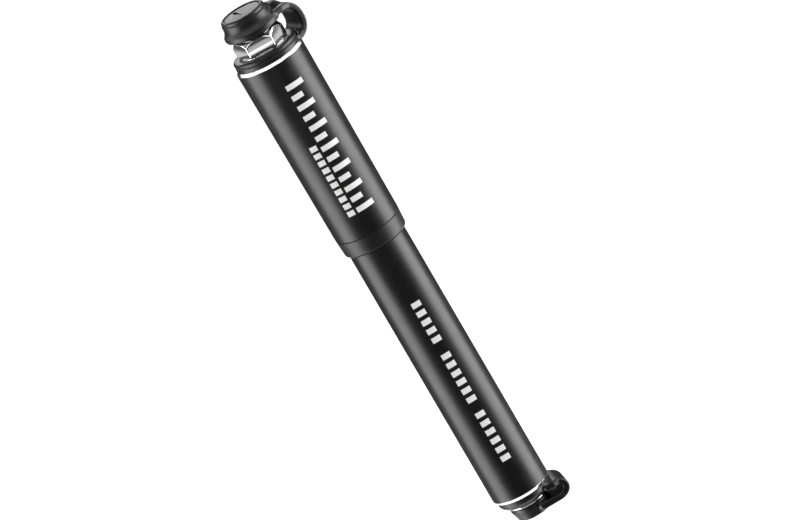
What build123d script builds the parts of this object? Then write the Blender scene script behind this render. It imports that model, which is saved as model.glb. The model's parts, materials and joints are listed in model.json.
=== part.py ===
from build123d import *
import math
import os

# A hand-held bicycle mini pump, closed, standing upright: handle at the top, barrel below.
# Heights are measured up from the lowest point of the bottom plug; radii from the pump's axis.
# At export everything drops by SEAT, so that the row's origin is the middle of the barrel's bracket seat.

# Barrel
BARREL_R = 9.35
SLIDE_R = 9.15
BORE_R = 8.2
BARREL_LOW = 9.2
BARREL_TOP = 157.0
BRACKET_TOP = 97.8
SEAT = (BARREL_LOW + BRACKET_TOP) / 2

# Handle
COLLAR_LOW = 98.1
COLLAR_TOP = 103.5
COLLAR_LOW_R = 10.3
COLLAR_SLEEVE = 6.0
COLLAR_SLEEVE_R = 9.95
HANDLE_TOP = 163.0
HANDLE_LOW_R = 10.65
HANDLE_TOP_R = 11.1
HANDLE_BORE_R = 9.75
FLANGE = 1.0
FLANGE_TOP_R = 10.4

# Piston and rod
STROKE = 115.0
ROD_R = 5.0
ROD_BORE_R = 4.1
RUNNING = 0.06
PISTON_LENGTH = 7.0
PISTON_R = 8.0

# Barrel head and its outlet valve
HEAD_TOP = 20.0
HEAD_SEAL = 15.75
NECK_R = 5.8
LIP_R = 6.7
LIP_LOW = 4.5
LIP_TOP = 5.0
HEAD_FLANGE_R = 8.65
MOUTH_R = 4.5
MOUTH_DEPTH = 1.9
PORT_R = 4.0
PORT_LENGTH = 5.0
CHAMBER_R = 2.0
SEAT_HOLE_R = 1.1
BALL_R = 1.5

# Hose, stored in the hollow rod
HOSE_R = 3.3
HOSE_BORE_R = 1.6
FERRULE_R = 4.0
AIRWAY_R = 1.0
HOSE_LOW = 41.0
HOSE_TOP = 160.0
FERRULE_LENGTH = 11.0
HEX_FLATS = 14.5
HEX_HEIGHT = 5.0
HEX_TURN = -6.0
BOSS_R = 5.2
BOSS_HEIGHT = 0.9
CHUCK_R = 3.9
CHUCK_LENGTH = 5.3
CHUCK_MOUTH_R = 4.4
CHUCK_MOUTH_DEPTH = 1.6

# Plugs: a ring around the neck, a strap and a cap
PLUG_TURN = 22.0
STRAP_THICKNESS = 1.8
TOP_RING_LOW = HANDLE_TOP + FLANGE
TOP_RING_HEIGHT = 3.0
TOP_RING_R = 10.5
TOP_NECK_R = 7.6
TOP_CAP_LOW = 173.2
TOP_CAP_HEIGHT = 6.5
TOP_CAP_R = 8.9
TOP_STRAP_REACH = 14.6
TOP_STRAP_WIDTH = 11.0
BOTTOM_RING_TOP = 8.1
BOTTOM_RING_R = 8.6
BOTTOM_CAP_R = 6.7
BOTTOM_STRAP_REACH = 12.9
BOTTOM_STRAP_WIDTH = 10.5
STRAP_GAP = 0.04

PORT_LOW = LIP_LOW + MOUTH_DEPTH
PORT_TOP = PORT_LOW + PORT_LENGTH
HEX_LOW = TOP_RING_LOW + TOP_RING_HEIGHT
HEX_TOP = HEX_LOW + HEX_HEIGHT
BOSS_TOP = HEX_TOP + BOSS_HEIGHT
CHUCK_LOW = BOSS_TOP - CHUCK_MOUTH_DEPTH - CHUCK_LENGTH
PISTON_LOW = HEAD_TOP + 0.6
PISTON_TOP = PISTON_LOW + PISTON_LENGTH
BUSH_LOW = PISTON_TOP + STROKE + 0.4
END_CAP_LOW = BARREL_TOP + 1.9


def turned(*outline):
    """A solid of revolution about the pump's axis, from (radius, height) corners."""
    corners = [(radius, 0, height) for radius, height in outline]
    return revolve(make_face(Polyline(*corners, close=True)), Axis.Z)


def ring(inner, outer, low, high):
    """A plain ring or tube between two heights."""
    return turned((inner, low), (outer, low), (outer, high), (inner, high))


def rod(radius, low, high):
    """A plain round bar between two heights."""
    return turned((0, low), (radius, low), (radius, high), (0, high))


def o_ring(inner, section, height):
    """A round-section ring, centred on a height."""
    middle = Location((inner + section / 2, 0, height))
    return revolve(middle * (Plane.XZ * Circle(section / 2)), Axis.Z)


# ---------------------------------------------------------------- barrel


def barrel_tube():
    """The pressure tube: full size under the bracket, a touch smaller where the handle slides."""
    return turned(
        (BORE_R, BARREL_LOW),
        (BARREL_R, BARREL_LOW),
        (BARREL_R, BRACKET_TOP),
        (SLIDE_R, BRACKET_TOP + 0.1),
        (SLIDE_R, BARREL_TOP - 0.4),
        (SLIDE_R - 0.4, BARREL_TOP),
        (BORE_R, BARREL_TOP),
    )


def rod_guide_bush():
    """The bush in the barrel's top end that guides the rod, with three breather holes."""
    body = turned(
        (ROD_R + RUNNING, BUSH_LOW),
        (BORE_R, BUSH_LOW),
        (BORE_R, BARREL_TOP),
        (SLIDE_R - 0.4, BARREL_TOP),
        (SLIDE_R - 0.6, BARREL_TOP + 1.0),
        (ROD_R + RUNNING, BARREL_TOP + 1.0),
    )
    length = BARREL_TOP - BUSH_LOW
    breather = Location((0, 0, BARREL_TOP - length / 2)) * Cylinder(0.8, length + 4)
    return body - PolarLocations(6.65, 3) * breather


def barrel_head():
    """The screwed-in head: chamfered flange, neck for the plug's ring, hose port and valve chamber."""
    gasket_top = PORT_TOP + 1.0
    return turned(
        (MOUTH_R, LIP_LOW),
        (LIP_R - 0.15, LIP_LOW),
        (LIP_R, LIP_LOW + 0.15),
        (LIP_R, LIP_TOP),
        (NECK_R, LIP_TOP),
        (NECK_R, BOTTOM_RING_TOP),
        (HEAD_FLANGE_R, BOTTOM_RING_TOP),
        (BARREL_R, BARREL_LOW),
        (BORE_R, BARREL_LOW),
        (BORE_R, HEAD_SEAL - 0.75),
        (BORE_R - 1.15, HEAD_SEAL - 0.75),
        (BORE_R - 1.15, HEAD_SEAL + 0.75),
        (BORE_R, HEAD_SEAL + 0.75),
        (BORE_R, HEAD_TOP - 0.5),
        (BORE_R - 0.5, HEAD_TOP),
        (SEAT_HOLE_R, HEAD_TOP),
        (SEAT_HOLE_R, HEAD_TOP - 1.6),
        (CHAMBER_R, HEAD_TOP - 1.6),
        (CHAMBER_R, gasket_top + 1.2),
        (CHAMBER_R + 1.2, gasket_top + 1.2),
        (CHAMBER_R + 1.2, gasket_top),
        (PORT_R + 0.3, gasket_top),
        (PORT_R + 0.3, PORT_TOP),
        (PORT_R, PORT_TOP),
        (PORT_R, PORT_LOW),
        (MOUTH_R, PORT_LOW),
    )


def head_o_ring():
    """Seals the head in the barrel."""
    return o_ring(BORE_R - 1.15 + 0.01, 1.12, HEAD_SEAL)


def port_gasket():
    """The flat washer at the bottom of the port, which the hose's end seals against."""
    return ring(1.9, PORT_R + 0.3, PORT_TOP, PORT_TOP + 0.95)


def outlet_valve_retainer():
    """The drilled disc that carries the valve's spring."""
    low = PORT_TOP + 1.0
    disc = ring(0.5, CHAMBER_R + 1.2, low, low + 1.15)
    hole = Location((0, 0, low)) * Cylinder(0.35, 4)
    return disc - PolarLocations(1.25, 4) * hole


def outlet_valve_ball():
    """The one-way valve's steel ball, just under its seat."""
    return Location((0, 0, ball_height())) * Sphere(BALL_R)


def ball_height():
    """The height of the ball's centre when the valve is shut, 0.05 clear of its seat."""
    return HEAD_TOP - 1.6 - math.sqrt(BALL_R**2 - SEAT_HOLE_R**2) - 0.05


def outlet_valve_spring():
    """A small coil spring from the retainer up to the ball."""
    wire = 0.3
    coil_r = 1.2
    low = PORT_TOP + 2.15 + wire / 2 + 0.02
    high = ball_height() - math.sqrt(BALL_R**2 - coil_r**2) - wire
    turns = 4
    helix = Helix(pitch=(high - low) / turns, height=high - low, radius=coil_r)
    start = Plane(origin=helix @ 0, z_dir=helix % 0)
    return Location((0, 0, low)) * sweep(start * Circle(wire / 2), path=helix, is_frenet=True)


# ---------------------------------------------------------------- piston and handle


def piston_o_ring():
    """The seal that slides in the barrel and lets the piston turn inside it."""
    inner = 6.65
    return o_ring(inner, BORE_R - 0.03 - inner, PISTON_LOW + 3.5)


def piston_head():
    """The piston: a closed cup on the rod's lower end, grooved for its seal, notched for intake air."""
    groove_low = PISTON_LOW + 2.5
    groove_high = PISTON_LOW + 4.5
    socket = PISTON_LOW + 1.8
    body = turned(
        (0, PISTON_LOW),
        (PISTON_R - 0.4, PISTON_LOW),
        (PISTON_R, PISTON_LOW + 0.4),
        (PISTON_R, groove_low),
        (6.55, groove_low),
        (6.55, groove_high),
        (PISTON_R, groove_high),
        (PISTON_R, PISTON_TOP - 0.4),
        (PISTON_R - 0.4, PISTON_TOP),
        (ROD_R, PISTON_TOP),
        (ROD_R, socket),
        (0, socket),
    )
    notch = Location((0, 0, PISTON_TOP)) * Box(1.6, 1.6, 2 * (PISTON_TOP - groove_high + 0.4))
    return body - PolarLocations(PISTON_R, 4) * notch


def rod_o_ring():
    """Seals the rod's open end against the floor of the piston's socket."""
    return o_ring(ROD_BORE_R - 0.3, 1.18, PISTON_LOW + 1.8 + 0.6)


def piston_rod():
    """The hollow rod, from the piston's socket up to the handle's end cap."""
    return ring(ROD_BORE_R, ROD_R, PISTON_LOW + 3.0, HANDLE_TOP + 0.5)


def handle_tube():
    """The wide tube, slightly tapered, bored to clear the barrel and stepped for the collar's sleeve."""
    sleeve_top = COLLAR_TOP + COLLAR_SLEEVE
    return turned(
        (COLLAR_SLEEVE_R, COLLAR_TOP),
        (HANDLE_LOW_R - 0.12, COLLAR_TOP),
        (HANDLE_LOW_R, COLLAR_TOP + 0.15),
        (HANDLE_TOP_R, HANDLE_TOP),
        (HANDLE_BORE_R, HANDLE_TOP),
        (HANDLE_BORE_R, sleeve_top),
        (COLLAR_SLEEVE_R, sleeve_top),
    )


def handle_collar():
    """The moulded collar at the handle's open end, which runs on the barrel."""
    edge_line = BARREL_R + 0.5
    body = turned(
        (SLIDE_R + RUNNING, COLLAR_LOW),
        (COLLAR_LOW_R, COLLAR_LOW),
        (HANDLE_LOW_R - 0.05, COLLAR_TOP - 0.12),
        (HANDLE_LOW_R - 0.17, COLLAR_TOP),
        (COLLAR_SLEEVE_R, COLLAR_TOP),
        (COLLAR_SLEEVE_R, COLLAR_TOP + COLLAR_SLEEVE),
        (SLIDE_R + RUNNING, COLLAR_TOP + COLLAR_SLEEVE),
    )
    low_edges = [edge for edge in body.edges() if edge.center().Z < COLLAR_LOW + 0.01]
    return fillet([edge for edge in low_edges if edge.radius > edge_line], 0.7)


def handle_end_cap():
    """The screwed-in end: chamfered flange, neck for the plug's ring, sockets for rod and hose."""
    rod_top = HANDLE_TOP + 0.5
    return turned(
        (ROD_R, END_CAP_LOW),
        (HANDLE_BORE_R - 0.5, END_CAP_LOW),
        (HANDLE_BORE_R, END_CAP_LOW + 0.5),
        (HANDLE_BORE_R, HANDLE_TOP),
        (HANDLE_TOP_R, HANDLE_TOP),
        (FLANGE_TOP_R, HANDLE_TOP + FLANGE),
        (TOP_NECK_R, HANDLE_TOP + FLANGE),
        (TOP_NECK_R, HEX_LOW),
        (ROD_R + 0.4, HEX_LOW),
        (ROD_R + 0.4, rod_top),
        (ROD_R, rod_top),
    )


# ---------------------------------------------------------------- stored hose


def hose_hex_fitting():
    """The hose's chuck: a polished hexagon with a shank in the end cap and a barb in the hose."""
    corner_r = HEX_FLATS / math.sqrt(3)
    blank = extrude(RegularPolygon(corner_r, 6), HEX_HEIGHT)
    chamfer = corner_r - HEX_FLATS / 2 + 0.15
    drop = chamfer * math.tan(math.radians(30))
    trim = turned(
        (0, HEX_LOW),
        (corner_r - chamfer, HEX_LOW),
        (corner_r, HEX_LOW + drop),
        (corner_r, HEX_TOP - drop),
        (corner_r - chamfer, HEX_TOP),
        (0, HEX_TOP),
    )
    hexagon = (Location((0, 0, HEX_LOW), (0, 0, HEX_TURN)) * blank) & trim
    boss = turned(
        (0, HEX_TOP),
        (BOSS_R, HEX_TOP),
        (BOSS_R, BOSS_TOP - 0.3),
        (BOSS_R - 0.3, BOSS_TOP),
        (0, BOSS_TOP),
    )
    shank = rod(ROD_R + 0.4, HANDLE_TOP + 0.6, HEX_LOW)
    root = rod(FERRULE_R, HOSE_TOP, HANDLE_TOP + 0.6)
    barb = rod(HOSE_BORE_R, HOSE_TOP - FERRULE_LENGTH + 1, HOSE_TOP)
    airway = rod(AIRWAY_R, HOSE_TOP - FERRULE_LENGTH, BOSS_TOP)
    chuck = turned(
        (0, CHUCK_LOW - 1.4),
        (CHUCK_R + 0.3, CHUCK_LOW - 1.4),
        (CHUCK_R + 0.3, CHUCK_LOW),
        (CHUCK_R, CHUCK_LOW),
        (CHUCK_R, CHUCK_LOW + CHUCK_LENGTH),
        (CHUCK_MOUTH_R, CHUCK_LOW + CHUCK_LENGTH),
        (CHUCK_MOUTH_R, BOSS_TOP + 1),
        (0, BOSS_TOP + 1),
    )
    return hexagon + boss + shank + root + barb - airway - chuck


def valve_gasket():
    """The rubber ring in the chuck that seals on a tyre's valve."""
    return ring(2.0, CHUCK_R + 0.3, CHUCK_LOW - 1.4, CHUCK_LOW)


def hose_tube():
    """The rubber hose itself."""
    return ring(HOSE_BORE_R, HOSE_R, HOSE_LOW, HOSE_TOP)


def hose_ferrule_upper():
    """Crimped sleeve over the hose's upper end."""
    return ring(HOSE_R, FERRULE_R, HOSE_TOP - FERRULE_LENGTH, HOSE_TOP)


def hose_ferrule_lower():
    """Crimped sleeve over the hose's lower end."""
    return ring(HOSE_R, FERRULE_R, HOSE_LOW, HOSE_LOW + FERRULE_LENGTH)


def hose_end_fitting():
    """The threaded end that screws into the port when the pump is used."""
    groove = HOSE_LOW - 3.0
    return turned(
        (AIRWAY_R, HOSE_LOW - 8.0),
        (PORT_R - 0.6, HOSE_LOW - 8.0),
        (PORT_R - 0.15, HOSE_LOW - 7.5),
        (PORT_R - 0.15, groove),
        (3.0, groove),
        (3.0, groove + 1.0),
        (FERRULE_R, groove + 1.0),
        (FERRULE_R, HOSE_LOW),
        (HOSE_BORE_R, HOSE_LOW),
        (HOSE_BORE_R, HOSE_LOW + FERRULE_LENGTH - 1),
        (AIRWAY_R, HOSE_LOW + FERRULE_LENGTH - 1),
    )


def hose_end_o_ring():
    """Seals the hose's threaded end in the port."""
    return o_ring(3.02, 0.9, HOSE_LOW - 2.5)


# ---------------------------------------------------------------- rubber plugs


def strap(reach, lower, upper, width, root_x):
    """A flat band bent in a half circle, its outer face at the given reach, its legs at two heights."""
    half = STRAP_THICKNESS / 2
    bend = (upper - lower) / 2
    middle = (upper + lower) / 2
    centre = reach - half - bend

    def at(x, height):
        return Vector(x, 0, height)

    outer = ThreePointArc(
        at(centre, lower - half), at(centre + bend + half, middle), at(centre, upper + half)
    )
    inner = ThreePointArc(
        at(centre, upper - half), at(centre + bend - half, middle), at(centre, lower + half)
    )
    top_leg = Polyline(outer @ 1, at(root_x, upper + half), at(root_x, upper - half), inner @ 0)
    low_leg = Polyline(inner @ 1, at(root_x, lower + half), at(root_x, lower - half), outer @ 0)
    face = make_face(Curve() + [outer, top_leg, inner, low_leg])
    return extrude(face, width / 2, dir=(0, 1, 0), both=True)


def top_plug_ring():
    """The top plug's double-beaded ring around the end cap's neck."""
    low = TOP_RING_LOW
    return turned(
        (TOP_NECK_R, low),
        (TOP_RING_R - 0.3, low),
        (TOP_RING_R, low + 0.4),
        (TOP_RING_R, low + 1.1),
        (TOP_RING_R - 0.25, low + 1.4),
        (TOP_RING_R, low + 1.7),
        (TOP_RING_R, low + 2.5),
        (TOP_RING_R - 0.5, low + TOP_RING_HEIGHT),
        (TOP_NECK_R, low + TOP_RING_HEIGHT),
    )


def top_plug_cap():
    """The top plug's cap: rolled foot, waisted side, dished end, and a tapered spigot in the chuck."""
    low = TOP_CAP_LOW
    top = TOP_CAP_LOW + TOP_CAP_HEIGHT
    return turned(
        (0, BOSS_TOP - 1.4),
        (CHUCK_MOUTH_R - 0.6, BOSS_TOP - 1.4),
        (CHUCK_MOUTH_R - 0.3, BOSS_TOP - 0.2),
        (CHUCK_MOUTH_R - 0.3, low),
        (TOP_CAP_R - 1.6, low),
        (TOP_CAP_R - 0.5, low + 0.4),
        (TOP_CAP_R, low + 1.3),
        (TOP_CAP_R - 0.4, low + 2.2),
        (7.7, low + 3.4),
        (7.3, low + 4.4),
        (7.15, low + 5.4),
        (7.2, top - 0.4),
        (6.9, top),
        (6.4, top),
        (6.1, top - 0.3),
        (0, top - 0.3),
    )


def top_plug_strap():
    """The top plug's strap, a half circle from the ring's side up to the cap's side."""
    lower = TOP_RING_LOW + 0.95
    upper = TOP_CAP_LOW + 2.8
    band = strap(TOP_STRAP_REACH, lower, upper, TOP_STRAP_WIDTH, TOP_NECK_R - 1.6)
    ring_room = rod(TOP_RING_R, TOP_RING_LOW - 1, TOP_RING_LOW + TOP_RING_HEIGHT + 0.2)
    cap_room = rod(TOP_CAP_R + STRAP_GAP, TOP_CAP_LOW - 1, TOP_CAP_LOW + TOP_CAP_HEIGHT)
    return band - ring_room - cap_room


def bottom_plug_ring():
    """The bottom plug's ring around the head's neck, curving in to the head's lip."""
    return turned(
        (NECK_R, LIP_TOP),
        (LIP_R + 0.1, LIP_TOP),
        (7.6, LIP_TOP + 0.5),
        (8.3, LIP_TOP + 1.3),
        (BOTTOM_RING_R, LIP_TOP + 2.2),
        (BOTTOM_RING_R, BOTTOM_RING_TOP),
        (NECK_R, BOTTOM_RING_TOP),
    )


def bottom_plug_cap():
    """The bottom plug's cap under the head, with a tapered spigot in the port."""
    rim = LIP_LOW - 0.1
    return turned(
        (0, 0),
        (4.6, 0),
        (5.2, 0.25),
        (5.4, 0.8),
        (5.5, 1.8),
        (6.2, 2.6),
        (BOTTOM_CAP_R, 3.2),
        (BOTTOM_CAP_R, rim),
        (MOUTH_R - 0.35, rim),
        (MOUTH_R - 0.7, rim + 1.7),
        (0, rim + 1.7),
    )


def bottom_plug_strap():
    """The bottom plug's strap, from the ring's side down to the cap's rim."""
    lower = STRAP_THICKNESS
    upper = LIP_TOP + 2.1
    band = strap(BOTTOM_STRAP_REACH, lower, upper, BOTTOM_STRAP_WIDTH, BOTTOM_CAP_R - 3.7)
    ring_room = rod(BOTTOM_RING_R, LIP_TOP, BOTTOM_RING_TOP + 1)
    cap_room = rod(BOTTOM_CAP_R + STRAP_GAP, -1, LIP_TOP)
    return band - ring_room - cap_room


# ---------------------------------------------------------------- all the nodes

NODES = [
    barrel_tube,
    rod_guide_bush,
    barrel_head,
    head_o_ring,
    port_gasket,
    outlet_valve_retainer,
    outlet_valve_ball,
    outlet_valve_spring,
    piston_o_ring,
    piston_head,
    rod_o_ring,
    piston_rod,
    handle_tube,
    handle_collar,
    handle_end_cap,
    hose_hex_fitting,
    valve_gasket,
    hose_tube,
    hose_ferrule_upper,
    hose_ferrule_lower,
    hose_end_fitting,
    hose_end_o_ring,
    top_plug_ring,
    top_plug_strap,
    top_plug_cap,
    bottom_plug_ring,
    bottom_plug_strap,
    bottom_plug_cap,
]
HANDLE_TURNED = {"top_plug_ring", "top_plug_strap", "top_plug_cap"}

os.makedirs("parts", exist_ok=True)
for node in NODES:
    turn = PLUG_TURN if node.__name__ in HANDLE_TURNED else 0
    placed = Location((0, 0, -SEAT), (0, 0, turn)) * node()
    export_step(placed, f"parts/{node.__name__}.step")
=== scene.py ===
import json
import math

import bmesh
import bpy
import numpy as np
from mathutils import Matrix, Vector


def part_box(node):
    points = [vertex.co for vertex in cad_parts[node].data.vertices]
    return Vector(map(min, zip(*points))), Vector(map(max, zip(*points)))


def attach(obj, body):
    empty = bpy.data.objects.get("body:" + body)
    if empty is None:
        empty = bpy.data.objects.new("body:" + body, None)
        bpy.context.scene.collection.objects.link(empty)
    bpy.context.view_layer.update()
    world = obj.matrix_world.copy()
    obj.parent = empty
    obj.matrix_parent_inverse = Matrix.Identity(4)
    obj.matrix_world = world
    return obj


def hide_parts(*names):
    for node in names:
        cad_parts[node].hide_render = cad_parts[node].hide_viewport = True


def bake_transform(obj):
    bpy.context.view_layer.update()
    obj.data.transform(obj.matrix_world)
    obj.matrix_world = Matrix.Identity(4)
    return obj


# The looks of a hand-held mini pump. Shapes are worked out in millimetres, in the row's own frame:
# heights are Z and radii are from the pump's axis. Both come from a CAD node where its box gives
# them. Otherwise they repeat the part's sizes, or are the visual model's own roundings and details.

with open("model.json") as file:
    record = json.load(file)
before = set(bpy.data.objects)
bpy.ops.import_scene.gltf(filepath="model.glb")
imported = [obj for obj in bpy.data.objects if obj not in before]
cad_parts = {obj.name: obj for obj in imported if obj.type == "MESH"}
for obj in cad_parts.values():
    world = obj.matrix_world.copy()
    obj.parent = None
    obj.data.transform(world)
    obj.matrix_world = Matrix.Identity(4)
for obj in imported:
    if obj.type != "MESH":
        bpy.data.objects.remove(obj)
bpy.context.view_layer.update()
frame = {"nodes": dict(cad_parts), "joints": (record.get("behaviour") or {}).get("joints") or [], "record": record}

MM = 0.001
JOINTS = {joint["name"]: joint for joint in frame["joints"]}


def span(node):
    """The lowest and highest Z of a CAD node, in mm."""
    low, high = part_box(node)
    return low.z / MM, high.z / MM


def radius(node):
    """How far a turned CAD node reaches from the pump's axis, in mm."""
    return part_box(node)[1].x / MM


# ---------------------------------------------------------------- sizes, in mm

# Barrel, with its head
BARREL_LOW, BARREL_TOP = span("barrel_tube")
HEAD_LOW, HEAD_TOP = span("barrel_head")
BARREL_R = radius("barrel_tube")
BARREL_BORE_R = radius("head_o_ring")
SLIDE_R = 9.15
FLANGE_LOW_R = 8.65
BOTTOM_NECK_R = 5.8
LIP_R = 6.7
SEAL_GROOVE_DEPTH = 1.15
SEAL_GROOVE_HALF = 0.75

# Handle, with the rod's end in it
HANDLE_LOW, HANDLE_TOP = span("handle_tube")
COLLAR_LOW, COLLAR_SLEEVE_TOP = span("handle_collar")
END_CAP_LOW, HEX_LOW = span("handle_end_cap")
HANDLE_TOP_R = radius("handle_tube")
HANDLE_BORE_R = 9.75
HANDLE_LOW_R = 10.65
COLLAR_LOW_R = 10.3
COLLAR_SLEEVE_R = 9.95
COLLAR_GROOVE = 0.16
BRACKET_TOP = COLLAR_LOW - 0.3
ROD_R = radius("piston_rod")
FLANGE_TOP_R = 10.4
TOP_NECK_R = 7.6

# Threads, and the step out to a gasket's seat above one
THREAD_PITCH = 0.8
THREAD_DEPTH = 0.22
THREAD_LAND = 0.1
GASKET_STEP = 0.3

# Port and outlet valve
GASKET_LOW, GASKET_TOP = span("port_gasket")
PORT_R = 4.0
PORT_MOUTH_R = 4.5
PORT_LOW = HEAD_LOW + 1.9
CHAMBER_R = 2.0
CHAMBER_TOP = HEAD_TOP - 1.6
RETAINER_R = CHAMBER_R + 1.2
RETAINER_TOP = span("outlet_valve_retainer")[1] + 0.05
VALVE_HOLE_R = 1.1
SPRING_LOW, SPRING_TOP = span("outlet_valve_spring")
SPRING_WIRE_R = 0.15
SPRING_TURNS = 4

# Hexagonal chuck
BOSS_TOP = span("hose_hex_fitting")[1]
VALVE_GASKET_LOW, VALVE_GASKET_TOP = span("valve_gasket")
HEX_FLATS = 14.5
HEX_TOP = BOSS_TOP - 0.9
HEX_TURN = math.radians(-6)
BOSS_R = 5.2
CHUCK_R = 3.9
CHUCK_MOUTH_R = 4.4
CHUCK_MOUTH_LOW = BOSS_TOP - 1.6
CHUCK_AIRWAY_R = 1.0

# Plugs: each strap's widths along its length are its width times the flare
STRAP_FLARE = np.array((1.2, 1.03, 1, 1, 1.02, 1.1))
TOP_RING_LOW, TOP_RING_TOP = span("top_plug_ring")
TOP_RING_R = radius("top_plug_ring")
TOP_CAP_LOW = BOSS_TOP + 0.3
TOP_CAP_TOP = span("top_plug_cap")[1]
TOP_CAP_R = 9.0
TOP_SPIGOT_R = CHUCK_MOUTH_R - 0.3
TOP_FOOT_ROLL = 1.25
CAP_LEAN = 0.1
SLOT_TURN = math.radians(7)
TOP_HINGE_X, TOP_HINGE_Y = (v / MM for v in JOINTS["top_plug_hinge"]["pos_m"][:2])
PLUG_TURN = math.atan2(TOP_HINGE_Y, TOP_HINGE_X)
TOP_STRAP_REACH = math.hypot(TOP_HINGE_X, TOP_HINGE_Y) + 0.9
TOP_STRAP_WIDTH = 11.0
TOP_STRAP_THICKNESS = 2.0
TOP_STRAP_ARCH = 5.9
TOP_STRAP_DROOP = 0.7
BOTTOM_RING_LOW, BOTTOM_RING_TOP = span("bottom_plug_ring")
BOTTOM_RING_R = radius("bottom_plug_ring")
BOTTOM_CAP_LOW = span("bottom_plug_cap")[0]
BOTTOM_SPIGOT_R = PORT_MOUTH_R - 0.35
BOTTOM_STRAP_REACH = radius("bottom_plug_strap")
BOTTOM_STRAP_WIDTH = 12.0
BOTTOM_STRAP_THICKNESS = 2.2
BOTTOM_STRAP_ARCH = 4.2
BOTTOM_STRAP_SWEEP = 0.05

# Grid spacings of the sculpted pieces
HEX_CELL = 0.17
PLUG_CELL = 0.2


# ---------------------------------------------------------------- meshes


def rounded(corners, steps=5):
    """A closed outline from (radius, height, cut) corners, where a cut rounds its corner off."""
    points = []
    for k, (r, z, cut) in enumerate(corners):
        corner = np.array((r, z), float)
        if not cut:
            points.append(corner)
            continue
        before = np.array(corners[k - 1][:2], float) - corner
        after = np.array(corners[(k + 1) % len(corners)][:2], float) - corner
        start = corner + before * cut / np.linalg.norm(before)
        end = corner + after * cut / np.linalg.norm(after)
        for t in np.linspace(0, 1, steps + 1):
            points.append((1 - t) ** 2 * start + 2 * t * (1 - t) * corner + t * t * end)
    return np.array(points)


def add_mesh(name, points, faces, material):
    """A smooth-shaded piece from points in mm."""
    mesh = bpy.data.meshes.new(name)
    mesh.from_pydata((np.asarray(points) * MM).tolist(), [], np.asarray(faces).tolist())
    mesh.shade_smooth()
    mesh.materials.append(material)
    piece = bpy.data.objects.new(name, mesh)
    bpy.context.scene.collection.objects.link(piece)
    return piece


def lathe(name, corners, material, segments=180):
    """A closed solid turned about the pump's axis, its flats shaded flat and its edges round."""
    outline = rounded(corners)
    count = len(outline)
    angles = np.linspace(0, 2 * math.pi, segments, endpoint=False)
    points = np.array([(r * math.cos(a), r * math.sin(a), z) for a in angles for r, z in outline])
    here = np.arange(segments * count).reshape(segments, count)
    over = np.roll(here, -1, axis=0)
    faces = np.stack([here, np.roll(here, -1, axis=1), np.roll(over, -1, axis=1), over], -1)
    piece = add_mesh(name, points, faces.reshape(-1, 4), material)
    outward(piece)
    weighted = piece.modifiers.new("flat_faces", "WEIGHTED_NORMAL")
    weighted.weight = 100
    return piece


def outward(piece):
    """Turns every face of a closed mesh outward."""
    shell = bmesh.new()
    shell.from_mesh(piece.data)
    bmesh.ops.recalc_face_normals(shell, faces=shell.faces)
    shell.to_mesh(piece.data)
    shell.free()


def thread(r, low, high):
    """The corners of a row of thread grooves on a wall of radius r, from low to high."""
    corners = []
    for k in range(int((high - low) / THREAD_PITCH)):
        start = low + k * THREAD_PITCH
        corners += [
            (r, start + THREAD_LAND, 0.04),
            (r + THREAD_DEPTH, start + THREAD_PITCH / 2, 0.06),
            (r, start + THREAD_PITCH - THREAD_LAND, 0.04),
        ]
    return corners


# ---------------------------------------------------------------- distance fields


def outline_distance(r, z, outline):
    """Signed distance from points (r, z) to a closed outline, negative inside."""
    nearest = np.full(r.shape, np.inf)
    inside = np.zeros(r.shape, bool)
    for (ar, az), (br, bz) in zip(outline, np.roll(outline, -1, axis=0)):
        dr, dz = br - ar, bz - az
        share = np.clip(((r - ar) * dr + (z - az) * dz) / (dr * dr + dz * dz), 0, 1)
        nearest = np.minimum(nearest, (r - ar - share * dr) ** 2 + (z - az - share * dz) ** 2)
        slope = dr / dz if dz else 0
        inside ^= ((az > z) != (bz > z)) & (r < ar + (z - az) * slope)
    return np.where(inside, -1, 1) * np.sqrt(nearest)


def from_axis(points):
    """How far points are from the pump's axis."""
    return np.hypot(points[:, 0], points[:, 1])


def turned_distance(points, corners):
    """Signed distance to a solid of revolution, from the corners of its half section."""
    return outline_distance(from_axis(points), points[:, 2], rounded(corners))


def band_distance(points, path, widths, thickness, rounding):
    """Signed distance to a flat band that follows a path in the XZ plane, its edges rounded."""
    x, y, z = points.T
    nearest = np.full(x.shape, np.inf)
    along = np.zeros(x.shape)
    for k, ((ax, az), (bx, bz)) in enumerate(zip(path[:-1], path[1:])):
        dx, dz = bx - ax, bz - az
        share = np.clip(((x - ax) * dx + (z - az) * dz) / (dx * dx + dz * dz), 0, 1)
        gap = (x - ax - share * dx) ** 2 + (z - az - share * dz) ** 2
        closer = gap < nearest
        nearest = np.where(closer, gap, nearest)
        along = np.where(closer, k + share, along)
    half_width = np.interp(along, np.linspace(0, len(path) - 1, len(widths)), widths) / 2
    over = np.sqrt(nearest) - thickness / 2 + rounding
    beside = np.abs(y) - half_width + rounding
    outside = np.hypot(np.maximum(over, 0), np.maximum(beside, 0))
    return outside + np.minimum(np.maximum(over, beside), 0) - rounding


def joined(a, b, fillet):
    """Union of two signed distances, with a fillet where they meet."""
    share = np.clip(0.5 + 0.5 * (b - a) / fillet, 0, 1)
    return b + (a - b) * share - fillet * share * (1 - share)


def shared(a, b, edge):
    """Intersection of two signed distances, with a rounded edge where they meet."""
    return -joined(-a, -b, edge)


def slope_of(distance, points, step=0.02):
    """The outward unit normal of a distance field at points."""
    slope = np.empty_like(points)
    for axis in range(3):
        reach = np.zeros(3)
        reach[axis] = step
        slope[:, axis] = distance(points + reach) - distance(points - reach)
    return slope / np.maximum(np.linalg.norm(slope, axis=1, keepdims=True), 1e-9)


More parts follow.
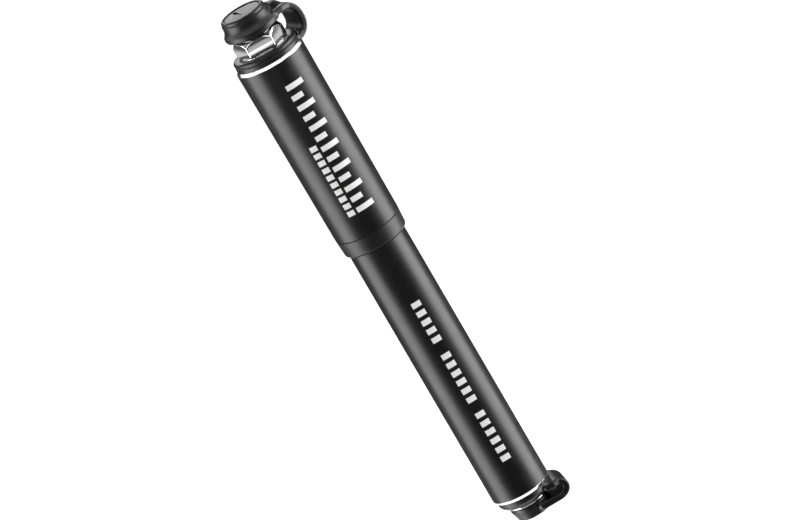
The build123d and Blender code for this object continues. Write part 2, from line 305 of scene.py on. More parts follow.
def skin(distance, low, high, cell):
    """Points and outward quads of the surface where a distance field is zero, from a grid."""
    block = 5
    shape = [block * math.ceil((b - a) / cell / block + 1) for a, b in zip(low, high)]
    axes = [a - 2 * cell + cell * np.arange(n) for a, n in zip(low, shape)]
    middles = [axis[block // 2::block] for axis in axes]
    value = distance(np.stack(np.meshgrid(*middles, indexing="ij"), -1).reshape(-1, 3))
    value = value.reshape([len(middle) for middle in middles])
    for axis in range(3):
        value = np.repeat(value, block, axis=axis)
    near = np.abs(value) < 2 * block * cell
    grid = np.stack(np.meshgrid(*axes, indexing="ij"), -1)
    value[near] = distance(grid[near])
    corners = [np.array((i, j, k)) for i in (0, 1) for j in (0, 1) for k in (0, 1)]

    def corner_values(corner):
        return value[tuple(slice(c, c + n - 1) for c, n in zip(corner, shape))]

    inside_count = sum((corner_values(corner) < 0).astype(int) for corner in corners)
    mixed = (inside_count > 0) & (inside_count < 8)
    cells = np.argwhere(mixed)
    number = np.full(mixed.shape, -1)
    number[mixed] = np.arange(len(cells))
    total = np.zeros((len(cells), 3))
    crossings = np.zeros((len(cells), 1))
    for a in corners:
        for axis in range(3):
            if a[axis]:
                continue
            b = a + np.eye(3, dtype=int)[axis]
            at_a, at_b = corner_values(a)[mixed], corner_values(b)[mixed]
            crosses = ((at_a < 0) != (at_b < 0))[:, None]
            share = (at_a / np.where(at_a == at_b, 1, at_a - at_b))[:, None]
            total += crosses * (a + share * (b - a))
            crossings += crosses
    points = np.array([axis[0] for axis in axes]) + (cells + total / crossings) * cell
    quads = []
    for axis in range(3):
        u, v = np.roll(np.eye(3, dtype=int), -axis, axis=0)[1:]
        here = value[tuple(slice(1, n - 1) for n in shape)] < 0
        step = np.eye(3, dtype=int)[axis]
        there = value[tuple(slice(1 + s, n - 1 + s) for s, n in zip(step, shape))] < 0
        for solid, order in ((True, (0, 1, 2, 3)), (False, (3, 2, 1, 0))):
            at = np.argwhere((here == solid) & (there != solid)) + 1
            around = [at, at - u, at - u - v, at - v]
            quads.append(np.stack([number[tuple(around[k].T)] for k in order], -1))
    for _ in range(3):
        points = points - distance(points)[:, None] * slope_of(distance, points)
    return points, np.concatenate(quads)


def turn_about_axis(vectors, angle):
    """Vectors turned about the pump's axis."""
    c, s = math.cos(angle), math.sin(angle)
    return vectors @ np.array(((c, s, 0), (-s, c, 0), (0, 0, 1)))


def shade_by(piece, distance, turn=0, flat_at=None):
    """Takes shading normals from a distance field, apart from faces on a flat cut at that X."""
    mesh = piece.data
    points = np.empty(len(mesh.vertices) * 3)
    mesh.vertices.foreach_get("co", points)
    points = turn_about_axis(points.reshape(-1, 3) / MM, -turn)
    normals = turn_about_axis(slope_of(distance, points), turn)
    corner_normals = np.empty((len(mesh.loops), 3))
    for face in mesh.polygons:
        cut = flat_at is not None and all(abs(points[v][0] - flat_at) < 1e-4 for v in face.vertices)
        for loop, vertex in zip(face.loop_indices, face.vertices):
            corner_normals[loop] = face.normal if cut else normals[vertex]
    mesh.normals_split_custom_set(corner_normals.tolist())


# ---------------------------------------------------------------- materials


class Finish:
    """A material in the making: its principled shader, with helpers that add nodes."""

    def __init__(self, name, **constants):
        self.material = bpy.data.materials.new(name)
        self.material.use_nodes = True
        self.tree = self.material.node_tree
        self.shader = self.tree.nodes["Principled BSDF"]
        self.place = self.tree.nodes.new("ShaderNodeTexCoord").outputs["Object"]
        for socket, value in constants.items():
            self.shader.inputs[socket.replace("_", " ")].default_value = value

    def link(self, value, socket):
        self.tree.links.new(value, socket)

    def noise(self, size, stretch=(1, 1, 1), detail=2):
        """Noise with features of about a size in mm, drawn out along each axis by a factor."""
        mapping = self.tree.nodes.new("ShaderNodeMapping")
        mapping.inputs["Scale"].default_value = [1 / (size * MM * s) for s in stretch]
        self.link(self.place, mapping.inputs["Vector"])
        noise = self.tree.nodes.new("ShaderNodeTexNoise")
        noise.inputs["Scale"].default_value = 1
        noise.inputs["Detail"].default_value = detail
        self.link(mapping.outputs["Vector"], noise.inputs["Vector"])
        return noise.outputs["Fac"]

    def spread(self, value, low, high, start=0.3, end=0.7):
        """A value that runs from low to high as another runs from start to end."""
        spread = self.tree.nodes.new("ShaderNodeMapRange")
        ends = {"From Min": start, "From Max": end, "To Min": low, "To Max": high}
        for socket, number in ends.items():
            spread.inputs[socket].default_value = number
        self.link(value, spread.inputs["Value"])
        return spread.outputs["Result"]

    def tint(self, value, dark, light):
        """A colour between two, by a value from 0 to 1, onto the shader."""
        mix = self.tree.nodes.new("ShaderNodeMix")
        mix.data_type = "RGBA"
        mix.inputs["A"].default_value = (*dark, 1)
        mix.inputs["B"].default_value = (*light, 1)
        self.link(value, mix.inputs["Factor"])
        self.link(mix.outputs["Result"], self.shader.inputs["Base Color"])

    def relief(self, value, depth, strength=1):
        """Raises the surface by a value, to a depth in mm."""
        bump = self.tree.nodes.new("ShaderNodeBump")
        bump.inputs["Strength"].default_value = strength
        bump.inputs["Distance"].default_value = depth * MM
        previous = self.shader.inputs["Normal"].links
        if previous:
            self.link(previous[0].from_socket, bump.inputs["Normal"])
        self.link(value, bump.inputs["Height"])
        self.link(bump.outputs["Normal"], self.shader.inputs["Normal"])


def anodised(name, dark, light, roughness, grain):
    """Black anodised aluminium: a fine satin grain, drawn faintly along the tube."""
    finish = Finish(name, Specular_IOR_Level=0.5)
    drawn = finish.noise(0.5, stretch=(1, 1, 60))
    finish.tint(finish.spread(drawn, 0, 1), dark, light)
    finish.link(finish.spread(finish.noise(4, detail=4), roughness - 0.02, roughness + 0.03),
                finish.shader.inputs["Roughness"])
    finish.relief(finish.noise(0.12), grain)
    return finish.material


def turned_metal(name, dark, light, roughness, lines):
    """Bright machined metal: fine tool lines that run round the axis, and faint handling marks."""
    finish = Finish(name, Metallic=1)
    cut = finish.noise(0.05, stretch=(60, 60, 1))
    finish.tint(finish.spread(finish.noise(1.5, detail=3), 0, 1), dark, light)
    finish.link(finish.spread(cut, roughness * 0.8, roughness * 1.3),
                finish.shader.inputs["Roughness"])
    finish.relief(cut, lines)
    return finish.material


def rubber(name, dark, light, roughness, grain):
    """Moulded rubber: a soft cloudiness, a fine matt grain, and shallow flow waves."""
    finish = Finish(name, Specular_IOR_Level=0.5)
    finish.tint(finish.spread(finish.noise(2.5, detail=4), 0, 1), dark, light)
    finish.link(finish.spread(finish.noise(0.8, detail=3), roughness - 0.04, roughness + 0.05),
                finish.shader.inputs["Roughness"])
    finish.relief(finish.noise(0.16), grain)
    finish.relief(finish.noise(3), 0.03)
    return finish.material


def moulded(name, dark, light, roughness):
    """Moulded plastic with a fine spark-eroded texture."""
    finish = Finish(name, Specular_IOR_Level=0.5)
    finish.tint(finish.spread(finish.noise(0.7, detail=3), 0, 1), dark, light)
    finish.link(finish.spread(finish.noise(0.3), roughness - 0.05, roughness + 0.05),
                finish.shader.inputs["Roughness"])
    finish.relief(finish.noise(0.1), 0.006)
    return finish.material


def ink(name):
    """Screen-printed white ink, with the grain of the metal under it showing through."""
    finish = Finish(name, Specular_IOR_Level=0.4)
    finish.tint(finish.spread(finish.noise(0.25, detail=3), 0, 1),
                (0.9, 0.9, 0.89), (0.97, 0.97, 0.96))
    finish.link(finish.spread(finish.noise(0.6), 0.42, 0.55), finish.shader.inputs["Roughness"])
    finish.relief(finish.noise(0.12), 0.004)
    return finish.material


FINISHES = {
    "black_tube": anodised("black_tube", (0.002, 0.002, 0.0022), (0.004, 0.004, 0.0043),
                           0.36, 0.003),
    "collar": moulded("collar", (0.003, 0.003, 0.0032), (0.0055, 0.0055, 0.0058), 0.42),
    "bright_metal": turned_metal("bright_metal", (0.80, 0.80, 0.81), (0.90, 0.90, 0.90),
                                 0.16, 0.002),
    "polished": turned_metal("polished", (0.86, 0.86, 0.87), (0.92, 0.92, 0.92), 0.07, 0.0005),
    "rod_metal": turned_metal("rod_metal", (0.62, 0.62, 0.63), (0.72, 0.72, 0.73), 0.22, 0.002),
    "bush": moulded("bush", (0.018, 0.018, 0.018), (0.032, 0.032, 0.031), 0.45),
    "brass": turned_metal("brass", (0.62, 0.43, 0.18), (0.72, 0.52, 0.24), 0.24, 0.003),
    "steel": turned_metal("steel", (0.50, 0.50, 0.51), (0.62, 0.62, 0.63), 0.15, 0.001),
    "hose_rubber": rubber("hose_rubber", (0.012, 0.012, 0.012), (0.022, 0.022, 0.021), 0.55, 0.01),
    "seal_rubber": rubber("seal_rubber", (0.014, 0.014, 0.014), (0.024, 0.024, 0.023), 0.40, 0.005),
    "plug_rubber": rubber("plug_rubber", (0.003, 0.003, 0.003), (0.006, 0.006, 0.006), 0.38, 0.008),
}
INK = ink("print_ink")


def dress_cad_nodes():
    """Gives every carried-over CAD node the finish of its slot in the record."""
    for part in frame["record"]["subparts"]:
        mesh = frame["nodes"][part["node"]].data
        mesh.materials.clear()
        mesh.materials.append(FINISHES[part["material_slot"]])


# ---------------------------------------------------------------- metal and moulded pieces


def handle_tube():
    """The wide tube, slightly tapered, with a small round on each rim."""
    piece = lathe("handle_tube_skin", [
        (COLLAR_SLEEVE_R, HANDLE_LOW, 0),
        (HANDLE_LOW_R, HANDLE_LOW, 0.22),
        (HANDLE_TOP_R, HANDLE_TOP, 0.1),
        (HANDLE_BORE_R, HANDLE_TOP, 0),
        (HANDLE_BORE_R, COLLAR_SLEEVE_TOP, 0),
        (COLLAR_SLEEVE_R, COLLAR_SLEEVE_TOP, 0),
    ], FINISHES["black_tube"])
    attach(piece, "handle")
    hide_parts("handle_tube")


def handle_collar():
    """The moulded collar at the handle's open end."""
    bore = SLIDE_R + 0.06
    piece = lathe("handle_collar_skin", [
        (bore, COLLAR_LOW, 0.15),
        (COLLAR_LOW_R, COLLAR_LOW, 0.75),
        (HANDLE_LOW_R - 0.04, HANDLE_LOW - COLLAR_GROOVE, 0.15),
        (COLLAR_SLEEVE_R, HANDLE_LOW - COLLAR_GROOVE, 0),
        (COLLAR_SLEEVE_R, COLLAR_SLEEVE_TOP, 0),
        (bore, COLLAR_SLEEVE_TOP, 0),
    ], FINISHES["collar"])
    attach(piece, "handle")
    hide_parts("handle_collar")


def handle_end_cap():
    """The bright turned end of the handle, with its chamfered flange."""
    rod_top = HANDLE_TOP + 0.5
    piece = lathe("handle_end_ring", [
        (ROD_R, END_CAP_LOW, 0),
        (HANDLE_BORE_R, END_CAP_LOW, 0.5),
        (HANDLE_BORE_R, HANDLE_TOP, 0),
        (HANDLE_TOP_R, HANDLE_TOP, 0.08),
        (FLANGE_TOP_R, TOP_RING_LOW, 0.15),
        (TOP_NECK_R, TOP_RING_LOW, 0),
        (TOP_NECK_R, HEX_LOW, 0.2),
        (ROD_R + 0.4, HEX_LOW, 0),
        (ROD_R + 0.4, rod_top, 0),
        (ROD_R, rod_top, 0),
    ], FINISHES["bright_metal"])
    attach(piece, "handle")
    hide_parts("handle_end_cap")


def barrel_tube():
    """The pressure tube, a touch thinner where the handle slides over it."""
    piece = lathe("barrel_tube_skin", [
        (BARREL_BORE_R, BARREL_LOW, 0),
        (BARREL_R, BARREL_LOW, 0.08),
        (BARREL_R, BRACKET_TOP, 0.05),
        (SLIDE_R, BRACKET_TOP + 0.1, 0.05),
        (SLIDE_R, BARREL_TOP, 0.4),
        (BARREL_BORE_R, BARREL_TOP, 0),
    ], FINISHES["black_tube"])
    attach(piece, "barrel")
    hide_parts("barrel_tube")


def barrel_head():
    """The bright screwed-in head: flange, neck, lip, valve chamber and threaded hose port."""
    seal = sum(span("head_o_ring")) / 2
    groove_low, groove_top = seal - SEAL_GROOVE_HALF, seal + SEAL_GROOVE_HALF
    groove_r = BARREL_BORE_R - SEAL_GROOVE_DEPTH
    gasket_r, gasket_top = PORT_R + GASKET_STEP, GASKET_TOP + 0.05
    piece = lathe("barrel_head_turned", [
        (PORT_MOUTH_R, HEAD_LOW, 0.12),
        (LIP_R - 0.4, HEAD_LOW, 0.05),
        (LIP_R, BOTTOM_RING_LOW, 0),
        (BOTTOM_NECK_R, BOTTOM_RING_LOW, 0),
        (BOTTOM_NECK_R, BOTTOM_RING_TOP, 0),
        (FLANGE_LOW_R, BOTTOM_RING_TOP, 0.12),
        (BARREL_R, BARREL_LOW, 0.08),
        (BARREL_BORE_R, BARREL_LOW, 0),
        (BARREL_BORE_R, groove_low, 0),
        (groove_r, groove_low, 0),
        (groove_r, groove_top, 0),
        (BARREL_BORE_R, groove_top, 0),
        (BARREL_BORE_R, HEAD_TOP, 0.4),
        (VALVE_HOLE_R, HEAD_TOP, 0.1),
        (VALVE_HOLE_R, CHAMBER_TOP, 0),
        (CHAMBER_R, CHAMBER_TOP, 0),
        (CHAMBER_R, RETAINER_TOP, 0),
        (RETAINER_R, RETAINER_TOP, 0),
        (RETAINER_R, gasket_top, 0),
        (gasket_r, gasket_top, 0),
        (gasket_r, GASKET_LOW, 0),
        *reversed(thread(PORT_R, PORT_LOW, GASKET_LOW)),
        (PORT_MOUTH_R, PORT_LOW, 0),
    ], FINISHES["bright_metal"])
    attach(piece, "barrel")
    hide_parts("barrel_head")


def valve_spring():
    """The outlet valve's small coil spring, wound from round wire."""
    sides, steps = 12, 200
    low, rise = SPRING_LOW + SPRING_WIRE_R, SPRING_TOP - SPRING_LOW - 2 * SPRING_WIRE_R
    coil_r = radius("outlet_valve_spring") - SPRING_WIRE_R
    climb = math.atan2(rise / SPRING_TURNS, 2 * math.pi * coil_r)
    points = []
    for share in np.linspace(0, 1, steps):
        turn = 2 * math.pi * SPRING_TURNS * share
        out = np.array((math.cos(turn), math.sin(turn), 0))
        back = np.array((math.sin(turn), -math.cos(turn), 0))
        up = back * math.sin(climb) + np.array((0, 0, math.cos(climb)))
        centre = coil_r * out + np.array((0, 0, low + rise * share))
        for angle in np.linspace(0, 2 * math.pi, sides, endpoint=False):
            points.append(centre + SPRING_WIRE_R * (math.cos(angle) * out + math.sin(angle) * up))
    grid = np.arange(steps * sides).reshape(steps, sides)
    beside = np.roll(grid, -1, axis=1)
    quads = np.stack([grid[:-1], beside[:-1], beside[1:], grid[1:]], -1).reshape(-1, 4).tolist()
    for end in (grid[0], grid[-1]):
        for k in range(sides // 2 - 1):
            quads.append((end[k], end[k + 1], end[sides - 2 - k], end[sides - 1 - k]))
    piece = add_mesh("valve_spring_coil", points, quads, FINISHES["steel"])
    outward(piece)
    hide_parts("outlet_valve_spring")
    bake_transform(piece)


def hex_distance(points):
    """The hose's chuck: a chamfered hexagon, a boss, a shank, and the threaded bore for a valve."""
    r, z = from_axis(points), points[:, 2]
    edge = 0.22
    crown = 0.02 * (z - (HEX_LOW + HEX_TOP) / 2) ** 2
    solid = np.maximum(HEX_LOW - z, z - HEX_TOP)
    for k in range(6):
        angle = math.radians(60 * k) - HEX_TURN
        across = points[:, 0] * math.sin(angle) + points[:, 1] * math.cos(angle)
        solid = shared(solid, across - HEX_FLATS / 2 + crown, edge)
    chamfer_r = HEX_FLATS / 2 - 0.15
    chamfers = ((HEX_TOP - z, 50, chamfer_r), (z - HEX_LOW, 30, chamfer_r + 0.9))
    for inward, degrees, start in chamfers:
        slope = math.radians(degrees)
        cone = (r - start) * math.sin(slope) - inward * math.cos(slope)
        solid = shared(solid, cone, edge)
    boss = shared(r - BOSS_R, np.maximum(z - BOSS_TOP, HEX_LOW - z), 0.25)
    shank = np.maximum(r - ROD_R - 0.38, np.maximum(HANDLE_TOP + 0.65 - z, z - HEX_LOW - 1))
    solid = np.minimum(joined(solid, boss, 0.15), shank)
    wave = np.abs((z - CHUCK_MOUTH_LOW) / THREAD_PITCH % 1 - 0.5) * 2
    bore = np.maximum(r - CHUCK_R - THREAD_DEPTH * (1 - wave), VALVE_GASKET_TOP - z)
    mouth = np.maximum(r - CHUCK_MOUTH_R, CHUCK_MOUTH_LOW - z)
    room = np.maximum(VALVE_GASKET_LOW - z, z - VALVE_GASKET_TOP)
    room = np.maximum(r - CHUCK_R - GASKET_STEP, room)
    airway = r - CHUCK_AIRWAY_R
    hollow = np.minimum(np.minimum(bore, mouth), np.minimum(room, airway))
    return shared(solid, -hollow, 0.12)


def hex_fitting():
    """The polished hexagon between the handle and the top plug's cap."""
    reach = HEX_FLATS / math.sqrt(3)
    low, high = (-reach, -reach, HANDLE_TOP), (reach, reach, BOSS_TOP)
    points, quads = skin(hex_distance, low, high, HEX_CELL)
    piece = add_mesh("hex_chuck", points, quads, FINISHES["polished"])
    shade_by(piece, hex_distance)
    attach(piece, "handle")
    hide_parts("hose_hex_fitting")


# ---------------------------------------------------------------- rubber plugs


def strap_path(centre, reach, rise, lead_top, lead_low, bend=1.0, steps=28):
    """A strap's centreline in XZ: half an ellipse, squared by a bend under 1, and its lead-ins."""
    arc = []
    for angle in np.linspace(math.pi / 2, -math.pi / 2, steps):
        along, up = abs(math.cos(angle)) ** bend, abs(math.sin(angle)) ** bend
        arc.append((centre[0] + reach * along, centre[1] + math.copysign(rise * up, angle)))
    return [lead_top, *arc, lead_low]


def ellipsoid_distance(points, centre, reach):
    """A close signed distance to an ellipsoid."""
    offset = points - centre
    near = np.linalg.norm(offset / reach, axis=1)
    steep = np.linalg.norm(offset / np.square(reach), axis=1)
    return near * (near - 1) / np.maximum(steep, 1e-6)


def top_ring_distance(points):
    """The top plug's ring: two rounded beads, the upper one crowned."""
    low, top = TOP_RING_LOW, TOP_RING_TOP
    middle = (low + top) / 2
    lower = turned_distance(points, [
        (TOP_NECK_R, low - 0.35, 0), (TOP_RING_R + 0.05, low - 0.35, 0.5),
        (TOP_RING_R - 0.05, middle, 0.6), (TOP_NECK_R, middle, 0)])
    upper = turned_distance(points, [
        (TOP_NECK_R, middle - 0.05, 0), (TOP_RING_R, middle - 0.05, 0.6),
        (TOP_RING_R, top - 0.3, 0.7), (TOP_RING_R - 1.5, top + 0.05, 1.0),
        (TOP_NECK_R, top - 0.2, 0)])
    return np.minimum(lower, upper)


def top_cap_distance(points):
    """The top plug's cap: a dished disc in a soft rim, a waist, a rolled foot, and a spigot."""
    low, top = TOP_CAP_LOW, TOP_CAP_TOP
    skirt = low - 0.4
    upright = points + np.clip(points[:, 2:] - skirt - TOP_FOOT_ROLL, -1, None) * (CAP_LEAN, 0, 0)
    cap = turned_distance(upright, [
        (-1, low, 0), (BOSS_R + 0.6, low, 0.2), (BOSS_R + 1.1, skirt, 0.3),
        (TOP_CAP_R, skirt, TOP_FOOT_ROLL), (TOP_CAP_R, skirt + 1.75, 0.4), (7.65, low + 3.2, 0.9),
        (7.5, low + 5.1, 0.3), (7.1, low + 5.35, 0.12), (7.15, top - 0.5, 0.3), (6.75, top, 0.35),
        (6.2, top, 0.3), (5.7, top - 0.35, 0.3), (-1, top - 0.35, 0)])
    dish = np.linalg.norm(upright - (0, 0, top + 29.5), axis=1) - 30.1
    slot = np.abs(turn_about_axis(upright, SLOT_TURN) - (-0.9, 2.0, top - 0.4)) - (0.3, 2.7, 0.3)
    slot = np.linalg.norm(np.maximum(slot, 0), axis=1) + np.minimum(slot.max(axis=1), 0) - 0.15
    cap = shared(shared(cap, -dish, 0.15), -slot, 0.1)
    spigot = turned_distance(points, [
        (-1, BOSS_TOP - 1.4, 0), (TOP_SPIGOT_R - 0.3, BOSS_TOP - 1.4, 0.3),
        (TOP_SPIGOT_R, low - 0.3, 0), (TOP_SPIGOT_R, low + 1, 0), (-1, low + 1, 0)])
    return np.minimum(cap, spigot)


def top_plug_distance(points):
    """The top plug before it is turned: ring, wide strap, and a cap with a humped root."""
    r, z = from_axis(points), points[:, 2]
    half, arch = TOP_STRAP_THICKNESS / 2, TOP_STRAP_ARCH
    low, top = TOP_RING_LOW - TOP_STRAP_DROOP, TOP_CAP_LOW + 2.6
    rise = (top - low) / 2
    path = strap_path((TOP_STRAP_REACH - arch, low + rise), arch - half, rise - half,
                      (5.5, top - half), (8.6, low + half), bend=0.88)
    band = band_distance(points, path, TOP_STRAP_WIDTH * STRAP_FLARE, TOP_STRAP_THICKNESS, 0.6)
    handle = np.maximum(z - TOP_RING_LOW, r - HANDLE_TOP_R - 0.1)
    band = np.maximum(band, -handle)
    root = ellipsoid_distance(points, (7.3, 0, TOP_CAP_LOW + 1.8), (4.1, 4.8, 2.6))
    hollow = np.maximum(r - TOP_NECK_R, z - TOP_RING_TOP - 0.5)
    ring_side = np.maximum(joined(top_ring_distance(points), band, 0.7), -hollow)
    boss_wall = np.abs(r - (BOSS_R + CHUCK_MOUTH_R) / 2) - (BOSS_R - CHUCK_MOUTH_R) / 2
    boss = np.maximum(boss_wall - 0.15, z - BOSS_TOP - 0.1)
    cap = joined(top_cap_distance(points), root, 0.9)
    return np.minimum(ring_side, np.maximum(joined(cap, band, 0.7), -boss))


def top_plug():
    """One piece of rubber: its ring, its wide strap and its cap."""
    low = (-TOP_RING_R, -TOP_RING_R, TOP_RING_LOW - TOP_STRAP_DROOP)
    high = (TOP_STRAP_REACH, TOP_RING_R, TOP_CAP_TOP)
    points, quads = skin(top_plug_distance, low, high, PLUG_CELL)
    points = turn_about_axis(points, PLUG_TURN)
    piece = add_mesh("top_plug_rubber", points, quads, FINISHES["plug_rubber"])
    shade_by(piece, top_plug_distance, PLUG_TURN)
    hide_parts("top_plug_ring", "top_plug_strap", "top_plug_cap")
    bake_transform(piece)


def bottom_ring_distance(points):
    """The bottom plug's ring, which curves in from the flange to the head's lip."""
    low, top = BOTTOM_RING_LOW, BOTTOM_RING_TOP
    return turned_distance(points, [
        (BOTTOM_NECK_R, low, 0), (LIP_R + 0.05, low, 0.1), (8.2, low + 1.0, 0.8),
        (BOTTOM_RING_R, low + 1.9, 0.6), (BOTTOM_RING_R, top, 0.25), (BOTTOM_NECK_R, top, 0)])


def bottom_cap_distance(points):
    """The bottom plug's bowl-shaped cap, with a spigot in the port's mouth."""
    low, rim = BOTTOM_CAP_LOW, HEAD_LOW - 0.1
    bowl = turned_distance(points, [
        (-1, low + 0.15, 0), (3.9, low + 0.15, 0), (4.2, low, 0.15), (5.25, low, 0.5),
        (5.75, low + 1.7, 0.6), (6.3, low + 3.4, 0.5), (6.25, rim, 0.25), (-1, rim, 0)])
    spigot = turned_distance(points, [
        (-1, rim - 1, 0), (BOTTOM_SPIGOT_R, rim - 1, 0), (BOTTOM_SPIGOT_R, rim, 0),
        (BOTTOM_SPIGOT_R - 0.35, rim + 1.7, 0.3), (-1, rim + 1.7, 0)])
    return np.minimum(bowl, spigot)


def bottom_plug_distance(points):
    """The bottom plug: its ring, its cap, and the wide strap between them."""
    r, z = from_axis(points), points[:, 2]
    half, arch = BOTTOM_STRAP_THICKNESS / 2, BOTTOM_STRAP_ARCH
    low, top = BOTTOM_CAP_LOW, BOTTOM_RING_TOP - 0.5
    rise = (top - low - 0.85) / 2
    path = strap_path((BOTTOM_STRAP_REACH - arch, top - rise), arch - half, rise - half,
                      (6.5, top - half), (3.0, top - 2 * rise + half))
    swept = points + points[:, 1:2] * (BOTTOM_STRAP_SWEEP, 0, 0)
    widths = BOTTOM_STRAP_WIDTH * STRAP_FLARE
    band = band_distance(swept, path, widths, BOTTOM_STRAP_THICKNESS, 0.65)
    neck = np.maximum(r - BOTTOM_NECK_R, z - BOTTOM_RING_TOP)
    upper = np.maximum(band, BOTTOM_RING_LOW + 0.05 - z - np.maximum(r - 7.5, 0) * 9)
    ring_side = np.maximum(joined(bottom_ring_distance(points), upper, 0.8), -neck)
    cap_side = np.maximum(joined(bottom_cap_distance(points), band, 1.5), low - z)
    return np.minimum(ring_side, cap_side)


def part_of(name, source, keep):
    """A closed copy of the faces of a mesh that a test keeps, its open rims filled flat."""
    mesh = source.copy()
    shell = bmesh.new()
    shell.from_mesh(mesh)
    dropped = [face for face in shell.faces if not keep(face.calc_center_median() / MM)]
    bmesh.ops.delete(shell, geom=dropped, context="FACES")
    rims = [edge for edge in shell.edges if edge.is_boundary]
    lids = bmesh.ops.holes_fill(shell, edges=rims, sides=0)["faces"]
    for lid in lids:
        lid.smooth = False
    for edge in rims:
        edge.smooth = False
    bmesh.ops.triangulate(shell, faces=lids)
    shell.to_mesh(mesh)
    shell.free()
    piece = bpy.data.objects.new(name, mesh)
    bpy.context.scene.collection.objects.link(piece)
    return piece


def bottom_plug():
    """The bottom plug in three closed pieces: a ring, a cap, and a strap between them."""
    cut = BOTTOM_RING_R + 0.7
    low = (-BOTTOM_RING_R, -BOTTOM_RING_R, BOTTOM_CAP_LOW)
    high = (BOTTOM_STRAP_REACH, BOTTOM_RING_R, BOTTOM_RING_TOP)
    points, quads = skin(bottom_plug_distance, low, high, PLUG_CELL)
    whole = add_mesh("bottom_plug_whole", points, quads, FINISHES["plug_rubber"])
    shell = bmesh.new()
    shell.from_mesh(whole.data)
    geometry = [*shell.verts, *shell.edges, *shell.faces]
    bmesh.ops.bisect_plane(shell, geom=geometry, dist=1e-8,
                           plane_co=(cut * MM, 0, 0), plane_no=(1, 0, 0))
    shell.to_mesh(whole.data)
    shell.free()
    middle = (HEAD_LOW + BOTTOM_RING_LOW) / 2

    def on_ring(at):
        return at.z > middle and math.hypot(at.x, at.y) > PORT_MOUTH_R

    ring = part_of("bottom_plug_collar", whole.data, lambda at: at.x < cut and on_ring(at))
    cap = part_of("bottom_plug_stopper", whole.data, lambda at: at.x < cut and not on_ring(at))
    strap = part_of("bottom_plug_loop", whole.data, lambda at: at.x >= cut)
    bpy.data.objects.remove(whole)
    for piece in (ring, cap, strap):
        shade_by(piece, bottom_plug_distance, flat_at=cut)
    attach(ring, "barrel")
    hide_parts("bottom_plug_ring")
    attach(cap, "bottom_plug")
    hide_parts("bottom_plug_cap")
    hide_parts("bottom_plug_strap")
    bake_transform(strap)


# ---------------------------------------------------------------- printed marks


def mark(across, height, wide, tall, radius_at):
    """Points and quads of one thin printed block on a round wall, centred across it at a height."""
    columns = max(2, int(wide / 0.4)) + 1
    points = []
    for lift in (-0.02, 0.025):
        for z in (height - tall / 2, height + tall / 2):
            r = radius_at(z)
            for x in np.linspace(across - wide / 2, across + wide / 2, columns):
                angle = x / r - math.pi / 2
                points.append(((r + lift) * math.cos(angle), (r + lift) * math.sin(angle), z))
    grid = np.arange(4 * columns).reshape(4, columns)
    rows = [(0, 2), (2, 3), (3, 1), (1, 0)]
    quads = [(grid[a, k], grid[a, k + 1], grid[b, k + 1], grid[b, k])
             for a, b in rows for k in range(columns - 1)]
    quads += [tuple(grid[[0, 2, 3, 1], 0]), tuple(grid[[0, 1, 3, 2], -1])]
    return points, quads


def print_marks(name, body, blocks, radius_at):
    """One piece of printed blocks, each (across, height, wide, tall), on a round wall."""
    points, quads = [], []
    for block in blocks:
        block_points, block_quads = mark(*block, radius_at)
        quads += [[k + len(points) for k in quad] for quad in block_quads]
        points += block_points
    piece = add_mesh(name, points, quads, INK)
    piece.data.shade_flat()
    outward(piece)
    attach(piece, body)


def handle_radius(z):
    """The handle's outer radius at a height."""
    share = (z - HANDLE_LOW) / (HANDLE_TOP - HANDLE_LOW)
    return HANDLE_LOW_R + (HANDLE_TOP_R - HANDLE_LOW_R) * share


def handle_print():
    """A plain row of long and short bars, with a row of small blocks beside it."""
    first, left = HANDLE_LOW + 8.25, -0.5
    tall = 1.7
    blocks = []
    for k in range(13):
        wide = 5.9 if k % 2 == 0 else 3.8
        blocks.append((left + wide / 2, first + 3.6 * k, wide, tall))
    blocks += [(left - 2.0, first + 2.55 * k, 2.3, tall) for k in range(10)]
    print_marks("handle_marks", "handle", blocks, handle_radius)


def barrel_print():
    """Three groups of plain bars along the barrel."""
    blocks = []
    for first, count in ((12.9, 6), (33.9, 6), (55.4, 5)):
        blocks += [(0.6, BARREL_LOW + first + 3.1 * k, 3.0, 1.8) for k in range(count)]
    print_marks("barrel_marks", "barrel", blocks, lambda z: BARREL_R)


# ---------------------------------------------------------------- studio


def aim(thing, place, target):
    """Puts a camera or a light at a place, looking at a target."""
    thing.location = place
    thing.rotation_euler = (Vector(target) - Vector(place)).to_track_quat("-Z", "Y").to_euler()


def around(azimuth, elevation, distance, target):
    """A point at a bearing from a target; azimuth 0 is the camera's side and 90 is +X."""
    a, e = math.radians(azimuth), math.radians(elevation)
    bearing = Vector((math.sin(a) * math.cos(e), -math.cos(a) * math.cos(e), math.sin(e)))
    return Vector(target) + distance * bearing


def add_camera():
    """The camera looks a little down on the pump, rolled so that the handle leans to the left."""
    target, distance = (0.0017, 0, 0.0362), 5.0
    elevation, roll = 15.7, -30.3
    camera = bpy.data.objects.new("camera", bpy.data.cameras.new("camera"))
    bpy.context.scene.collection.objects.link(camera)
    camera.data.lens = 765.2
    aim(camera, around(0, elevation, distance, target), target)
    camera.matrix_world = camera.matrix_basis @ Matrix.Rotation(math.radians(roll), 4, "Z")
    bpy.context.scene.camera = camera


def softbox(name, azimuth, elevation, distance, size, power, target):
    """A rectangular soft light, unseen by the camera."""
    light = bpy.data.lights.new(name, "AREA")
    light.shape = "RECTANGLE"
    light.size, light.size_y = size
    light.energy = power
    box = bpy.data.objects.new(name, light)
    bpy.context.scene.collection.objects.link(box)
    aim(box, around(azimuth, elevation, distance, target), target)
    box.visible_camera = False


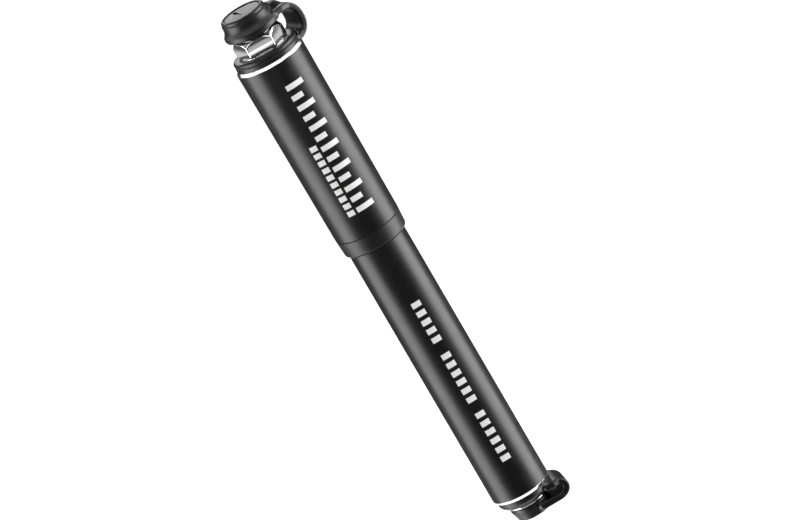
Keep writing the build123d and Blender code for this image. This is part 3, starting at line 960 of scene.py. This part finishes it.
def add_lights():
    """Tall softboxes at both sides, wide ones in an arc above, one behind, one below, and small
    ones close to the hexagon."""
    middle = (0, 0, 0.03)
    softbox("side_right", 82, -12, 1.2, (0.95, 1.6), 31, middle)
    softbox("side_left", -82, -12, 1.2, (0.95, 1.6), 23.5, middle)
    ring = [(-118, 25), (-92, 36), (-50, 48), (0, 54), (50, 48), (92, 36), (118, 25)]
    for k, (azimuth, elevation) in enumerate(ring):
        softbox(f"above_{k}", azimuth, elevation, 1.2, (1.0, 0.36), 1.65, middle)
    softbox("behind", 180, 26, 1.4, (0.5, 0.4), 3.0, middle)
    softbox("below", 180, -66, 0.58, (1.1, 1.1), 5.4, (0, 0, -0.03))
    hexagon = (0, 0, (HEX_LOW + HEX_TOP) / 2 * MM)
    softbox("card_front", -12, -18, 0.25, (0.12, 0.02), 0.008, hexagon)
    softbox("panel_front", -12, -13, 0.25, (0.06, 0.035), 0.0025, hexagon)
    softbox("panel_left", -132, -16, 0.25, (0.016, 0.08), 0.0024, hexagon)
    softbox("panel_right", 108, -16, 0.25, (0.016, 0.08), 0.0022, hexagon)


def add_world():
    """Pale studio surroundings: white to the eye, dim and fading to the back in reflections."""
    world = bpy.data.worlds.new("studio")
    bpy.context.scene.world = world
    world.use_nodes = True
    tree = world.node_tree
    back = tree.nodes["Background"]
    back.inputs["Color"].default_value = (1, 1, 1, 1)
    dim = tree.nodes.new("ShaderNodeBackground")
    dim.inputs["Color"].default_value = (1, 1, 1, 1)
    dim.inputs["Strength"].default_value = 0.065
    path = tree.nodes.new("ShaderNodeLightPath")
    mix = tree.nodes.new("ShaderNodeMixShader")
    tree.links.new(path.outputs["Is Camera Ray"], mix.inputs["Fac"])
    tree.links.new(dim.outputs["Background"], mix.inputs[1])
    tree.links.new(back.outputs["Background"], mix.inputs[2])
    tree.links.new(mix.outputs["Shader"], tree.nodes["World Output"].inputs["Surface"])


def add_floor():
    """A plain pale floor, bright as the surroundings, seen from above only. Sizes are in metres."""
    reach, depth = 3.0, 0.35
    ring = [(reach * math.cos(a), reach * math.sin(a), -depth)
            for a in np.linspace(0, 2 * math.pi, 64, endpoint=False)]
    mesh = bpy.data.meshes.new("floor")
    mesh.from_pydata(ring, [], [tuple(range(len(ring)))])
    floor = bpy.data.objects.new("floor", mesh)
    bpy.context.scene.collection.objects.link(floor)
    finish = Finish("floor", Roughness=0.9, Emission_Strength=1.0, Emission_Color=(1, 1, 1, 1))
    finish.tint(finish.spread(finish.noise(60), 0, 1), (0.78, 0.78, 0.78), (0.82, 0.82, 0.82))
    see_through = finish.tree.nodes.new("ShaderNodeBsdfTransparent")
    side = finish.tree.nodes.new("ShaderNodeNewGeometry")
    mix = finish.tree.nodes.new("ShaderNodeMixShader")
    finish.link(side.outputs["Backfacing"], mix.inputs["Fac"])
    finish.link(finish.shader.outputs["BSDF"], mix.inputs[1])
    finish.link(see_through.outputs["BSDF"], mix.inputs[2])
    finish.link(mix.outputs["Shader"], finish.tree.nodes["Material Output"].inputs["Surface"])
    mesh.materials.append(finish.material)
    floor.visible_glossy = False
    floor.visible_diffuse = False
    floor.visible_shadow = False


add_camera()
add_lights()
add_world()
add_floor()
bpy.context.scene.view_settings.view_transform = "Standard"

dress_cad_nodes()
handle_tube()
handle_collar()
handle_end_cap()
barrel_tube()
barrel_head()
valve_spring()
hex_fitting()
top_plug()
bottom_plug()
handle_print()
barrel_print()
